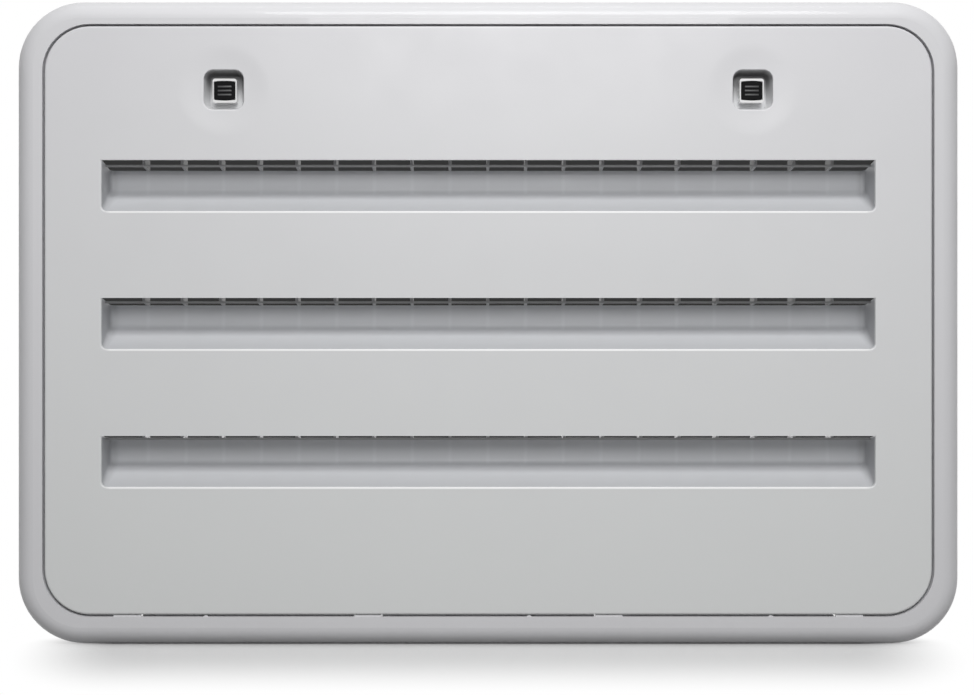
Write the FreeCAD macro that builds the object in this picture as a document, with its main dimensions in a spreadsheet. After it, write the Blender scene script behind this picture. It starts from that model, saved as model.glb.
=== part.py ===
"""Refrigerator vent door for a caravan or camper wall.

A moulded surround screws to the outside of the wall. A louvred service door
sits in its rebate, rocks out on four sill pads and is held shut at the top
by two push and pull fasteners.

Millimetres. X runs to the right, Z up, and Y into the wall, so the front
faces minus Y. The wall's outer skin is the plane Y = 0 and the origin is the
middle of the surround on that plane.
"""
import os

import FreeCAD
import Part
import Sketcher

App = FreeCAD

SIZES = {
    # surround
    "frame_width": 603.0,
    "frame_height": 411.5,
    "frame_corner": 42.0,
    "flange_depth": 9.0,
    "flange_wall": 2.4,
    "flange_roll": 12.0,
    "jamb_width": 17.4,
    "head_width": 15.4,
    "sill_width": 18.5,
    "ledge_wall": 2.4,
    # sleeve through the wall
    "sleeve_side": 28.5,
    "sleeve_end": 32.75,
    "sleeve_corner": 12.0,
    "sleeve_wall": 2.4,
    "sleeve_depth": 24.0,
    # screw holes in the ledge
    "screw_radius": 2.3,
    "side_screw_inset": 38.8,
    "end_screw_inset": 130.6,
    # door
    "door_gap": 1.3,
    "door_corner": 29.0,
    "door_depth": 5.8,
    "door_skin": 2.6,
    "skirt_wall": 2.2,
    "nose_radius": 1.5,
    # hinge at the sill
    "hinge_inset": 52.8,
    "pad_width": 17.5,
    "pad_clear": 0.3,
    "pad_back": 0.5,
    "pad_thick": 1.9,
    "pad_root": 0.6,
    "hook_width": 16.0,
    "hook_thick": 1.8,
    "hook_drop": 3.5,
    "hook_back": 3.0,
    "hook_clear": 0.9,
    "hook_corner": 1.0,
    "window_back": 2.6,
    "window_rise": 3.6,
    "pip_radius": 2.0,
    "pip_rise": 0.9,
    "pip_back": 0.4,
    "pip_side": 180.0,
    "pip_middle": 26.0,
    # louvres
    "slot_inset": 36.3,
    "slot_drop": 85.3,
    "slot_floor": 81.3,
    "slot_height": 32.6,
    "slot_corner": 3.5,
    "slot_lip": 0.9,
    "louvre_depth": 26.5,
    "louvre_wall": 2.0,
    "louvre_fillet": 4.0,
    "louvre_end_round": 3.0,
    "ramp_rise": 13.3,
    "back_top": 4.7,
    "grille_bays": 20,
    "rib_thick": 1.8,
    "rib_rise": 8.0,
    "rib_tail": 1.5,
    "rib_front": 1.6,
    "rib_leg": 3.0,
    "rib_foot": 15.5,
    "bar_depth": 12.4,
    "bar_thick": 1.4,
    "bar_drop": 2.1,
    "bar_height": 1.4,
    # latches
    "latch_inset": 114.3,
    "latch_drop": 40.7,
    "well_mouth": 25.3,
    "well_corner": 6.0,
    "well_depth": 12.0,
    "well_floor": 20.5,
    "well_wall": 1.8,
    "well_lip": 0.7,
    "cup_corner": 5.0,
    "floor_corner": 3.0,
    "bezel_size": 15.4,
    "bezel_base": 6.3,
    "bezel_rim": 1.7,
    "bezel_corner": 1.6,
    "button_width": 13.4,
    "button_height": 11.2,
    "button_bow": 0.5,
    "button_clear": 0.25,
    "button_thick": 1.6,
    "button_corner": 1.0,
    "button_edge": 0.4,
    "barrel_radius": 4.5,
    "barrel_length": 9.5,
    "barrel_clear": 0.2,
    "stem_radius": 2.5,
    "stem_clear": 0.3,
    "lug_width": 32.0,
    "lug_thick": 2.5,
    "lug_set_back": 2.0,
    "lug_below": 14.0,
    "lug_clear": 1.0,
    "lug_corner": 6.0,
    # how far a cut runs past the face it leaves by
    "overcut": 0.5,
}

DERIVED = {
    "roll_behind": "flange_roll - flange_depth",
    "roll_trim": "flange_roll - sqrt(flange_roll ^ 2 - roll_behind ^ 2)",
    "rebate_width": "frame_width - 2 * jamb_width",
    "rebate_height": "frame_height - head_width - sill_width",
    "rebate_corner": "door_corner + door_gap",
    "rebate_depth": "flange_depth - ledge_wall",
    "opening_rise": "(sill_width - head_width) / 2",
    "rebate_floor": "opening_rise - rebate_height / 2",
    "door_width": "rebate_width - 2 * door_gap",
    "door_height": "rebate_height - 2 * door_gap",
    "door_floor": "opening_rise - door_height / 2",
    "hinge_reach": "door_width - 2 * hinge_inset",
    "side_screw_rise": "rebate_height - 2 * side_screw_inset",
    "end_screw_span": "rebate_width - 2 * end_screw_inset",
    "door_back": "flange_depth - door_depth",
    "skin_back": "flange_depth - door_skin",
    "axis_depth": "flange_depth - nose_radius",
    "axis_height": "door_floor + nose_radius",
    "slot_width": "door_width - 2 * slot_inset",
    "slot_pitch": "(door_height - slot_drop - slot_height - slot_floor) / 2",
    "slot_first": "door_height / 2 - slot_drop",
    "slot_top": "opening_rise + slot_first",
    "latch_side": "door_width / 2 - latch_inset",
    "latch_height": "door_height / 2 - latch_drop",
    "latch_centre": "opening_rise + latch_height",
    "rib_pitch": "slot_width / grille_bays",
    "wall_front": "louvre_depth - flange_depth",
    "wall_rear": "wall_front + louvre_wall",
    "well_front": "flange_depth - well_depth",
    "sleeve_width": "frame_width - 2 * sleeve_side",
    "sleeve_height": "frame_height - 2 * sleeve_end",
    "sleeve_inner_top": "opening_rise + sleeve_height / 2 - sleeve_wall",
    "sleeve_inner_width": "sleeve_width - 2 * sleeve_wall",
    "sleeve_inner_height": "sleeve_height - 2 * sleeve_wall",
}

doc = App.newDocument("VentDoor")
sheet = doc.addObject("Spreadsheet::Sheet", "Sizes")


def fill_sheet():
    """Put every named size and derived size in the spreadsheet."""
    row = 1
    for name, value in SIZES.items():
        sheet.set(f"A{row}", name)
        sheet.set(f"B{row}", str(value))
        sheet.setAlias(f"B{row}", name)
        row += 1
    for name, formula in DERIVED.items():
        sheet.set(f"A{row}", name)
        sheet.set(f"B{row}", "=" + formula)
        sheet.setAlias(f"B{row}", name)
        row += 1
    doc.recompute()


def size(name):
    """The present value of one named size, in millimetres."""
    return float(sheet.get(name))


def from_sheet(formula):
    """A formula in the sheet's names, as an expression for another object."""
    text = formula
    for name in sorted(list(SIZES) + list(DERIVED), key=len, reverse=True):
        text = replace_word(text, name)
    return text.replace("@", "")


def replace_word(text, name):
    """Put the sheet's name before each whole word that is a size."""
    pieces = []
    rest = text
    while name in rest:
        head, rest = rest.split(name, 1)
        before = head[-1:] if head else " "
        after = rest[:1] or " "
        whole = not (before.isalnum() or before in "_@") and not (after.isalnum() or after == "_")
        pieces.append(head + ("Sizes.@" + name if whole else name))
    return "".join(pieces) + rest


def value_of(formula):
    """Work out a formula in the sheet's names."""
    return float(sheet.evalExpression(from_sheet(formula)))


def new_body(label):
    """One named piece of the product."""
    body = doc.addObject("PartDesign::Body", label)
    body.Label = label
    body.AllowCompound = True
    return body


def new_sketch(body, name, plane, offset="0"):
    """A sketch on an origin plane of the body, moved along that plane's normal."""
    sketch = body.newObject("Sketcher::SketchObject", name)
    support = [f for f in body.Origin.OriginFeatures if f.Role == plane][0]
    sketch.AttachmentSupport = [(support, "")]
    sketch.MapMode = "FlatFace"
    sketch.setExpression("AttachmentOffset.Base.z", from_sheet(offset))
    return sketch


def pin_point(sketch, line, end, across, up):
    """Hold one end of a line at a place given by two formulas."""
    for axis, formula in (("DistanceX", across), ("DistanceY", up)):
        number = sketch.addConstraint(Sketcher.Constraint(axis, line, end, value_of(formula)))
        sketch.setExpression(f"Constraints[{number}]", from_sheet(formula))


def polygon(sketch, corners):
    """A closed outline of straight lines through formula points."""
    points = [App.Vector(value_of(a), value_of(b), 0) for a, b in corners]
    first = sketch.GeometryCount
    count = len(points)
    for i in range(count):
        sketch.addGeometry(Part.LineSegment(points[i], points[(i + 1) % count]), False)
    for i in range(count):
        following = first + (i + 1) % count
        sketch.addConstraint(Sketcher.Constraint("Coincident", first + i, 2, following, 1))
    for i, (across, up) in enumerate(corners):
        pin_point(sketch, first + i, 1, across, up)


def rounded_box(sketch, across, up, width, height, radius):
    """A rectangle with four rounded corners, centred on a formula point."""
    left, right = f"({across} - ({width}) / 2)", f"({across} + ({width}) / 2)"
    low, high = f"({up} - ({height}) / 2)", f"({up} + ({height}) / 2)"
    runs = [
        ((f"{left} + {radius}", low), (f"{right} - {radius}", low)),
        ((right, f"{low} + {radius}"), (right, f"{high} - {radius}")),
        ((f"{right} - {radius}", high), (f"{left} + {radius}", high)),
        ((left, f"{high} - {radius}"), (left, f"{low} + {radius}")),
    ]
    rounded_outline(sketch, runs)


def rounded_outline(sketch, runs):
    """Straight runs joined in turn by arcs that leave each run smoothly."""
    first = sketch.GeometryCount
    count = len(runs)
    ends = []
    for start, end in runs:
        a = App.Vector(value_of(start[0]), value_of(start[1]), 0)
        b = App.Vector(value_of(end[0]), value_of(end[1]), 0)
        ends.append((a, b))
        sketch.addGeometry(Part.LineSegment(a, b), False)
    for i, (start, end) in enumerate(runs):
        pin_point(sketch, first + i, 1, *start)
        pin_point(sketch, first + i, 2, *end)
    for i in range(count):
        following = (i + 1) % count
        a, b = ends[i][1], ends[following][0]
        if (a - b).Length < 1e-6:
            continue
        along = (ends[i][1] - ends[i][0]).normalize()
        reach = (b - a).dot(along)
        aside = (b - a) - along * reach
        centre = a + aside
        bulge = (a - centre).normalize() + along
        half_way = centre + bulge.normalize() * aside.Length
        arc = sketch.addGeometry(Part.Arc(a, half_way, b), False)
        geometry = sketch.Geometry[arc]
        starts_here = (geometry.StartPoint - a).Length < (geometry.EndPoint - a).Length
        near, far = (1, 2) if starts_here else (2, 1)
        sketch.addConstraint(Sketcher.Constraint("Tangent", first + i, 2, arc, near))
        sketch.addConstraint(Sketcher.Constraint("Coincident", arc, far, first + following, 1))


def circle(sketch, across, up, radius):
    """A circle centred on a formula point."""
    centre = App.Vector(value_of(across), value_of(up), 0)
    number = sketch.addGeometry(Part.Circle(centre, App.Vector(0, 0, 1), value_of(radius)), False)
    pin_point(sketch, number, 3, across, up)
    size_at = sketch.addConstraint(Sketcher.Constraint("Radius", number, value_of(radius)))
    sketch.setExpression(f"Constraints[{size_at}]", from_sheet(radius))


def pad(body, sketch, name, length, reverse=False, both=False):
    """Thicken a sketch, along its plane's normal or against it."""
    feature = body.newObject("PartDesign::Pad", name)
    return run_out(feature, sketch, length, reverse, both)


def pocket(body, sketch, name, length, reverse=False, both=False):
    """Cut a sketch out, against its plane's normal or along it."""
    feature = body.newObject("PartDesign::Pocket", name)
    return run_out(feature, sketch, length, reverse, both)


def run_out(feature, sketch, length, reverse, both):
    """The settings that a pad and a pocket share."""
    feature.Profile = sketch
    feature.setExpression("Length", from_sheet(length))
    feature.Reversed = reverse
    if both:
        feature.SideType = "Symmetric"
    sketch.Visibility = False
    doc.recompute()
    return feature


def row(body, feature, name, axis, reach, count, reverse=False):
    """Repeat a feature in a straight line along one of the body's axes."""
    pattern = body.newObject("PartDesign::LinearPattern", name)
    pattern.Originals = [feature]
    line = [f for f in body.Origin.OriginFeatures if f.Role == axis][0]
    pattern.Direction = (line, [""])
    pattern.setExpression("Length", from_sheet(reach))
    pattern.Occurrences = count
    pattern.Reversed = reverse
    body.Tip = pattern
    doc.recompute()
    return pattern


def fillet(body, name, radius, wanted):
    """Round every edge of the body so far that a test picks."""
    shape = body.Shape
    names = [f"Edge{i + 1}" for i, edge in enumerate(shape.Edges) if wanted(edge)]
    feature = body.newObject("PartDesign::Fillet", name)
    feature.Base = (feature.BaseFeature, names)
    feature.setExpression("Radius", from_sheet(radius))
    doc.recompute()
    return feature


def shell(body, name, wall, open_face):
    """Hollow the body to a wall of one thickness, open where a test picks a face."""
    names = [f"Face{i + 1}" for i, face in enumerate(body.Shape.Faces) if open_face(face)]
    feature = body.newObject("PartDesign::Thickness", name)
    feature.Base = (feature.BaseFeature, names)
    feature.setExpression("Value", from_sheet(wall))
    feature.Reversed = True
    doc.recompute()
    return feature


def box_of(edge):
    """The bounding box of one edge."""
    return edge.BoundBox


def flat_at(edge, depth):
    """Whether an edge lies wholly in the plane that is this far in front of the wall."""
    box = box_of(edge)
    return abs(box.YMin + depth) < 1e-4 and abs(box.YMax + depth) < 1e-4


def inside(edge, width, height):
    """Whether an edge lies within a box of this size round the door's middle."""
    box = box_of(edge)
    middle = size("opening_rise")
    across = max(abs(box.XMin), abs(box.XMax)) <= width / 2 + 1e-4
    return across and box.ZMax - middle <= height / 2 + 1e-4 and middle - box.ZMin <= height / 2 + 1e-4


def make_surround():
    """The flange with its rolled edge, the rebate for the door and the screw ledge."""
    body = new_body("frame_surround")
    outline = new_sketch(body, "SurroundOutline", "XZ_Plane", "-roll_behind - overcut")
    rounded_box(
        outline, "0", "0", "frame_width + 2 * roll_trim", "frame_height + 2 * roll_trim",
        "(frame_corner + roll_trim)",
    )
    pad(body, outline, "SurroundBlock", "flange_roll + overcut")
    front = size("flange_depth")
    fillet(body, "RolledEdge", "flange_roll", lambda e: flat_at(e, front))

    # the roll is rounder than the flange is deep, so it is cut off at the wall
    trim = new_sketch(body, "WallPlane", "XZ_Plane")
    rounded_box(
        trim, "0", "0", "frame_width + 2 * frame_corner", "frame_height + 2 * frame_corner", "frame_corner",
    )
    pocket(body, trim, "WallTrim", "roll_behind + 2 * overcut")
    shell(body, "FlangeShell", "flange_wall", lambda face: abs(face.CenterOfMass.y) < 1e-4)

    doorway = new_sketch(body, "Doorway", "XZ_Plane", "flange_depth")
    rounded_box(doorway, "0", "opening_rise", "rebate_width", "rebate_height", "rebate_corner")
    pocket(body, doorway, "DoorHole", "flange_wall + overcut")

    wall = new_sketch(body, "RebateWall", "XZ_Plane")
    rounded_box(
        wall, "0", "opening_rise", "rebate_width + 2 * flange_wall",
        "rebate_height + 2 * flange_wall", "(rebate_corner + flange_wall)",
    )
    rounded_box(wall, "0", "opening_rise", "rebate_width", "rebate_height", "rebate_corner")
    pad(body, wall, "Rebate", "flange_depth - flange_wall / 2")

    ledge = new_sketch(body, "LedgeOutline", "XZ_Plane")
    rounded_box(
        ledge, "0", "opening_rise", "rebate_width + flange_wall", "rebate_height + flange_wall",
        "(rebate_corner + flange_wall / 2)",
    )
    rounded_box(ledge, "0", "opening_rise", "sleeve_width", "sleeve_height", "sleeve_corner")
    pad(body, ledge, "Ledge", "ledge_wall")

    pads = new_sketch(body, "PadOutline", "XZ_Plane", "flange_depth - pad_back")
    half = "pad_width / 2"
    start = "hinge_reach / 2"
    top = "rebate_floor + door_gap - pad_clear"
    polygon(pads, [
        (f"-{start} - {half}", "rebate_floor - pad_root"), (f"-{start} + {half}", "rebate_floor - pad_root"),
        (f"-{start} + {half}", top), (f"-{start} - {half}", top),
    ])
    first_pad = pad(body, pads, "SillPad", "pad_thick", reverse=True)
    row(body, first_pad, "SillPads", "X_Axis", "hinge_reach", 4)

    window = new_sketch(body, "HookWindowOutline", "XZ_Plane", "flange_depth - window_back")
    half = "(hook_width / 2 + hook_clear)"
    low = "rebate_floor - flange_wall - overcut"
    high = "rebate_floor + window_rise"
    polygon(window, [
        (f"-{start} - {half}", low), (f"-{start} + {half}", low),
        (f"-{start} + {half}", high), (f"-{start} - {half}", high),
    ])
    first_window = pocket(body, window, "HookWindow", "flange_depth")
    row(body, first_window, "HookWindows", "X_Axis", "hinge_reach", 4)

    pips = new_sketch(body, "PipOutline", "XZ_Plane", "flange_depth - pip_back")
    for across in ("-pip_side", "pip_middle", "pip_side"):
        circle(pips, across, "rebate_floor + pip_rise - pip_radius", "pip_radius")
    pad(body, pips, "SillPips", "pad_thick", reverse=True)

    holes = new_sketch(body, "ScrewHoles", "XZ_Plane", "ledge_wall")
    side = "(rebate_width + sleeve_width) / 4"
    rise = "(rebate_height + sleeve_height) / 4"
    for sign_x in ("-", ""):
        for sign_z in ("-", "+"):
            circle(holes, f"{sign_x}{side}", f"opening_rise {sign_z} side_screw_rise / 2", "screw_radius")
            circle(holes, f"{sign_x}end_screw_span / 2", f"opening_rise {sign_z} {rise}", "screw_radius")
    pocket(body, holes, "ScrewHole", "ledge_wall + overcut")
    return body


def make_sleeve():
    """The sleeve that lines the cut-out in the wall."""
    body = new_body("wall_sleeve")
    outline = new_sketch(body, "SleeveRing", "XZ_Plane", "ledge_wall")
    rounded_box(outline, "0", "opening_rise", "sleeve_width", "sleeve_height", "sleeve_corner")
    rounded_box(
        outline, "0", "opening_rise", "sleeve_inner_width", "sleeve_inner_height",
        "(sleeve_corner - sleeve_wall)",
    )
    pad(body, outline, "SleeveWall", "ledge_wall + sleeve_depth", reverse=True)
    return body


def make_keeper(label, side):
    """A lug that hangs from the sleeve and takes a latch's barrel in its hole."""
    body = new_body(label)
    outline = new_sketch(body, "LugOutline", "XZ_Plane", "well_front - louvre_wall - lug_set_back")
    half = "lug_width / 2"
    low = "latch_centre - lug_below"
    rounded_outline(outline, [
        ((f"{side} - {half} + lug_corner", low), (f"{side} + {half} - lug_corner", low)),
        ((f"{side} + {half}", f"{low} + lug_corner"), (f"{side} + {half}", "sleeve_inner_top")),
        ((f"{side} + {half}", "sleeve_inner_top"), (f"{side} - {half}", "sleeve_inner_top")),
        ((f"{side} - {half}", "sleeve_inner_top"), (f"{side} - {half}", f"{low} + lug_corner")),
    ])
    circle(outline, side, "latch_centre", "barrel_radius + lug_clear")
    pad(body, outline, "Lug", "lug_thick", reverse=True)
    return body


def make_door():
    """The face of the door: a thin skin with a skirt round it, cut for louvres and latches."""
    body = new_body("door_panel")
    outline = new_sketch(body, "DoorOutline", "XZ_Plane", "door_back")
    rounded_box(outline, "0", "opening_rise", "door_width", "door_height", "door_corner")
    pad(body, outline, "DoorBlock", "door_depth")
    front = size("flange_depth")
    fillet(body, "DoorNose", "nose_radius", lambda e: flat_at(e, front))

    hollow = new_sketch(body, "DoorHollow", "XZ_Plane", "door_back")
    rounded_box(
        hollow, "0", "opening_rise", "door_width - 2 * skirt_wall", "door_height - 2 * skirt_wall",
        "(door_corner - skirt_wall)",
    )
    pocket(body, hollow, "Hollow", "door_depth - door_skin", reverse=True)

    slot = new_sketch(body, "LouvreSlot", "XZ_Plane", "flange_depth")
    left, right = "(-slot_width / 2)", "(slot_width / 2)"
    low = "(slot_top - slot_height)"
    rounded_outline(slot, [
        ((f"{left} + slot_corner", low), (f"{right} - slot_corner", low)),
        ((right, f"{low} + slot_corner"), (right, "slot_top")),
        ((right, "slot_top"), (left, "slot_top")),
        ((left, "slot_top"), (left, f"{low} + slot_corner")),
    ])
    first_slot = pocket(body, slot, "LouvreOpening", "door_skin + overcut")
    row(body, first_slot, "LouvreOpenings", "Z_Axis", "2 * slot_pitch", 3, reverse=True)

    wells = new_sketch(body, "LatchHole", "XZ_Plane", "flange_depth")
    rounded_box(wells, "-latch_side", "latch_centre", "well_mouth", "well_mouth", "well_corner")
    first_well = pocket(body, wells, "LatchMouth", "door_skin + overcut")
    row(body, first_well, "LatchMouths", "X_Axis", "2 * latch_side", 2)

    reach = size("slot_width") + 0.1
    tops = [size("slot_top") - i * size("slot_pitch") for i in range(3)]
    fillet(
        body, "LouvreLip", "slot_lip",
        lambda e: flat_at(e, front) and inside(e, reach, 2 * size("slot_first") + 60)
        and box_of(e).ZMin < size("slot_top")
        and not any(abs(box_of(e).ZMin - t) < 0.01 for t in tops),
    )
    fillet(
        body, "LatchLip", "well_lip",
        lambda e: flat_at(e, front) and box_of(e).ZMin > size("slot_top")
        and inside(e, 2 * size("latch_side") + size("well_mouth") + 0.1, size("door_height") - 40),
    )
    return body


def make_hooks():
    """Four short tabs under the door that drop into the sill behind its pads."""
    body = new_body("hinge_hooks")
    outline = new_sketch(body, "HookOutline", "XZ_Plane", "flange_depth - hook_back")
    start = "hinge_reach / 2"
    half = "hook_width / 2"
    low = "door_floor - hook_drop"
    rounded_outline(outline, [
        ((f"-{start} - {half} + hook_corner", low), (f"-{start} + {half} - hook_corner", low)),
        ((f"-{start} + {half}", f"{low} + hook_corner"), (f"-{start} + {half}", "door_floor")),
        ((f"-{start} + {half}", "door_floor"), (f"-{start} - {half}", "door_floor")),
        ((f"-{start} - {half}", "door_floor"), (f"-{start} - {half}", f"{low} + hook_corner")),
    ])
    first = pad(body, outline, "Hook", "hook_thick", reverse=True)
    row(body, first, "Hooks", "X_Axis", "hinge_reach", 4)
    return body


def rib_count():
    """How many ribs divide a louvre into its bays."""
    return int(round(size("grille_bays"))) - 1


def make_trough(label, drop):
    """One louvre: a ramp that rises to a back wall with ribs behind it, closed at both ends."""
    body = new_body(label)
    top = f"(slot_top - {drop})"
    low = f"({top} - slot_height)"
    under = f"({low} - louvre_wall)"
    section = new_sketch(body, "TroughSection", "YZ_Plane")
    polygon(section, [
        ("-skin_back", top), ("-skin_back", under),
        ("wall_rear", f"{under} + ramp_rise"), ("wall_rear", f"{top} - back_top"),
        ("wall_front", f"{top} - back_top"),
    ])
    pad(body, section, "TroughBlock", "slot_width + 2 * louvre_wall", both=True)
    corner = value_of(f"{under} + ramp_rise")
    rear = size("wall_rear")
    fillet(
        body, "RearRound", "louvre_fillet + louvre_wall",
        lambda e: abs(box_of(e).YMin - rear) < 1e-4 and abs(box_of(e).ZMax - corner) < 1e-4
        and box_of(e).XLength > size("slot_width") / 2,
    )
    inner = new_sketch(body, "TroughHollow", "YZ_Plane")
    polygon(inner, [
        ("-skin_back - 1", f"{top} + 5"),
        ("-skin_back - 1", f"{low} - ramp_rise / (wall_front + skin_back)"),
        ("wall_front", f"{low} + ramp_rise"), ("wall_front", f"{top} + 5"),
    ])
    pocket(body, inner, "TroughSpace", "slot_width", both=True)
    crease = value_of(f"{low} + ramp_rise")
    fore = size("wall_front")
    fillet(
        body, "CreaseRound", "louvre_fillet",
        lambda e: abs(box_of(e).YMin - fore) < 1e-4 and abs(box_of(e).ZMax - crease) < 1e-4
        and box_of(e).XLength > size("slot_width") / 2,
    )
    end = size("slot_width") / 2
    rim = value_of(f"{top} - back_top")
    fillet(
        body, "EndRound", "louvre_end_round",
        lambda e: box_of(e).XLength < 1e-4 and abs(abs(box_of(e).XMin) - end) < 1e-4
        and box_of(e).ZMin < rim - 1e-4 and box_of(e).YMax > 1e-4,
    )
    foot = f"({low} + rib_foot)"
    leg = new_sketch(body, "RearRibSection", "YZ_Plane", "rib_pitch - slot_width / 2 - rib_thick / 2")
    polygon(leg, [
        ("wall_rear - overcut", foot), ("wall_rear", foot),
        ("wall_rear + rib_leg", f"{foot} + rib_leg"), ("wall_rear + rib_leg", f"{top} - back_top"),
        ("wall_rear - overcut", f"{top} - back_top"),
    ])
    first_leg = pad(body, leg, "RearRib", "rib_thick")
    row(body, first_leg, "RearRibs", "X_Axis", "rib_pitch * (grille_bays - 2)", rib_count())
    return body


def make_grille(label, drop):
    """The ladder of ribs and one long bar that guards the way up behind a louvre."""
    body = new_body(label)
    top = f"(slot_top - {drop})"
    bar = new_sketch(body, "BarSection", "YZ_Plane")
    fore = "(bar_depth - flange_depth - bar_thick / 2)"
    aft = "(bar_depth - flange_depth + bar_thick / 2)"
    polygon(bar, [
        (fore, f"{top} - bar_drop - bar_height"), (aft, f"{top} - bar_drop - bar_height"),
        (aft, f"{top} - bar_drop"), (fore, f"{top} - bar_drop"),
    ])
    pad(body, bar, "LongBar", "slot_width", both=True)
    first = "(rib_pitch - slot_width / 2)"
    rib = new_sketch(body, "RibSection", "YZ_Plane", f"{first} - rib_thick / 2")
    step = "(bar_depth - flange_depth)"
    polygon(rib, [
        ("-skin_back", f"{top} + rib_front"), (step, f"{top} + rib_front"),
        (step, f"{top} - bar_drop - bar_height / 2"), ("wall_front", f"{top} - back_top"),
        ("wall_rear", f"{top} - back_top"), ("wall_rear", f"{top} + rib_tail"),
        ("-skin_back", f"{top} + rib_rise"),
    ])
    first_rib = pad(body, rib, "Rib", "rib_thick")
    row(body, first_rib, "Ribs", "X_Axis", "rib_pitch * (grille_bays - 2)", rib_count())
    return body


def make_well(label, side):
    """The sloped cup behind a latch hole, with a floor that carries the grommet."""
    body = new_body(label)
    mouth = new_sketch(body, "CupMouth", "XZ_Plane", "skin_back")
    grown = "(well_mouth + 2 * well_wall)"
    rounded_box(mouth, side, "latch_centre", grown, grown, "(well_corner + well_wall)")
    base = new_sketch(body, "CupBase", "XZ_Plane", "well_front - louvre_wall")
    grown = "(well_floor + 2 * well_wall)"
    rounded_box(base, side, "latch_centre", grown, grown, "cup_corner")
    cup = body.newObject("PartDesign::AdditiveLoft", "Cup")
    cup.Profile = mouth
    cup.Sections = [base]
    doc.recompute()
    inner_mouth = new_sketch(body, "SpaceMouth", "XZ_Plane", "skin_back")
    rounded_box(inner_mouth, side, "latch_centre", "well_mouth", "well_mouth", "well_corner")
    inner_base = new_sketch(body, "SpaceBase", "XZ_Plane", "well_front")
    rounded_box(inner_base, side, "latch_centre", "well_floor", "well_floor", "floor_corner")
    space = body.newObject("PartDesign::SubtractiveLoft", "Space")
    space.Profile = inner_mouth
    space.Sections = [inner_base]
    body.Tip = space
    doc.recompute()
    hole = new_sketch(body, "FloorHole", "XZ_Plane", "well_front")
    circle(hole, side, "latch_centre", "barrel_radius + barrel_clear")
    pocket(body, hole, "BarrelHole", "louvre_wall + overcut")
    return body


def bowed_box(sketch, across, up, width, height, bow):
    """A rectangle whose upper and lower edges bulge outwards by a little."""
    half_w, half_h = value_of(width) / 2, value_of(height) / 2
    x, z, rise = value_of(across), value_of(up), value_of(bow)
    left, right = f"{across} - ({width}) / 2", f"{across} + ({width}) / 2"
    low, high = f"{up} - ({height}) / 2", f"{up} + ({height}) / 2"
    first = sketch.GeometryCount
    a = App.Vector(x - half_w, z - half_h, 0)
    b = App.Vector(x + half_w, z - half_h, 0)
    c = App.Vector(x + half_w, z + half_h, 0)
    d = App.Vector(x - half_w, z + half_h, 0)
    sketch.addGeometry(Part.LineSegment(b, c), False)
    sketch.addGeometry(Part.LineSegment(d, a), False)
    pin_point(sketch, first, 1, right, low)
    pin_point(sketch, first, 2, right, high)
    pin_point(sketch, first + 1, 1, left, high)
    pin_point(sketch, first + 1, 2, left, low)
    curve = f"((({width}) / 2) ^ 2 + ({bow}) ^ 2) / (2 * ({bow}))"
    for start, peak, end, join in (
        (c, App.Vector(x, z + half_h + rise, 0), d, ((first, 2), (first + 1, 1))),
        (a, App.Vector(x, z - half_h - rise, 0), b, ((first + 1, 2), (first, 1))),
    ):
        arc = sketch.addGeometry(Part.Arc(start, peak, end), False)
        geometry = sketch.Geometry[arc]
        forward = (geometry.StartPoint - start).Length < (geometry.EndPoint - start).Length
        near, far = (1, 2) if forward else (2, 1)
        sketch.addConstraint(Sketcher.Constraint("Coincident", arc, near, join[0][0], join[0][1]))
        sketch.addConstraint(Sketcher.Constraint("Coincident", arc, far, join[1][0], join[1][1]))
        number = sketch.addConstraint(Sketcher.Constraint("Radius", arc, value_of(curve)))
        sketch.setExpression(f"Constraints[{number}]", from_sheet(curve))


def make_grommet(label, side):
    """The pale bezel of a latch, with the barrel that goes through the keeper lug."""
    body = new_body(label)
    base = new_sketch(body, "BezelOutline", "XZ_Plane", "well_front")
    rounded_box(base, side, "latch_centre", "bezel_size", "bezel_size", "bezel_corner")
    pad(body, base, "Bezel", "bezel_base + bezel_rim")
    seat = new_sketch(body, "ButtonSeat", "XZ_Plane", "well_front + bezel_base + bezel_rim")
    bowed_box(
        seat, side, "latch_centre", "button_width + 2 * button_clear",
        "button_height + 2 * button_clear", "button_bow",
    )
    pocket(body, seat, "Seat", "bezel_rim")
    barrel = new_sketch(body, "BarrelOutline", "XZ_Plane", "well_front")
    circle(barrel, side, "latch_centre", "barrel_radius")
    pad(body, barrel, "Barrel", "barrel_length", reverse=True)
    bore = new_sketch(body, "BarrelBore", "XZ_Plane", "well_front + bezel_base")
    circle(bore, side, "latch_centre", "stem_radius + stem_clear")
    pocket(body, bore, "Bore", "bezel_base + barrel_length + overcut")
    return body


def make_plunger(label, side):
    """The black button of a latch on its stem, which pulls out to free the barrel."""
    body = new_body(label)
    face = new_sketch(body, "ButtonOutline", "XZ_Plane", "well_front + bezel_base + bezel_rim")
    bowed_box(face, side, "latch_centre", "button_width", "button_height", "button_bow")
    pad(body, face, "Button", "button_thick", reverse=True)
    front = value_of("well_front + bezel_base + bezel_rim")
    fillet(body, "ButtonCorner", "button_corner", lambda e: box_of(e).YLength > 1)
    fillet(body, "ButtonEdge", "button_edge", lambda e: flat_at(e, front))
    stem = new_sketch(body, "StemOutline", "XZ_Plane", "well_front + bezel_base + bezel_rim - button_thick")
    circle(stem, side, "latch_centre", "stem_radius")
    pad(body, stem, "Stem", "barrel_length + bezel_base", reverse=True)
    return body


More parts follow.
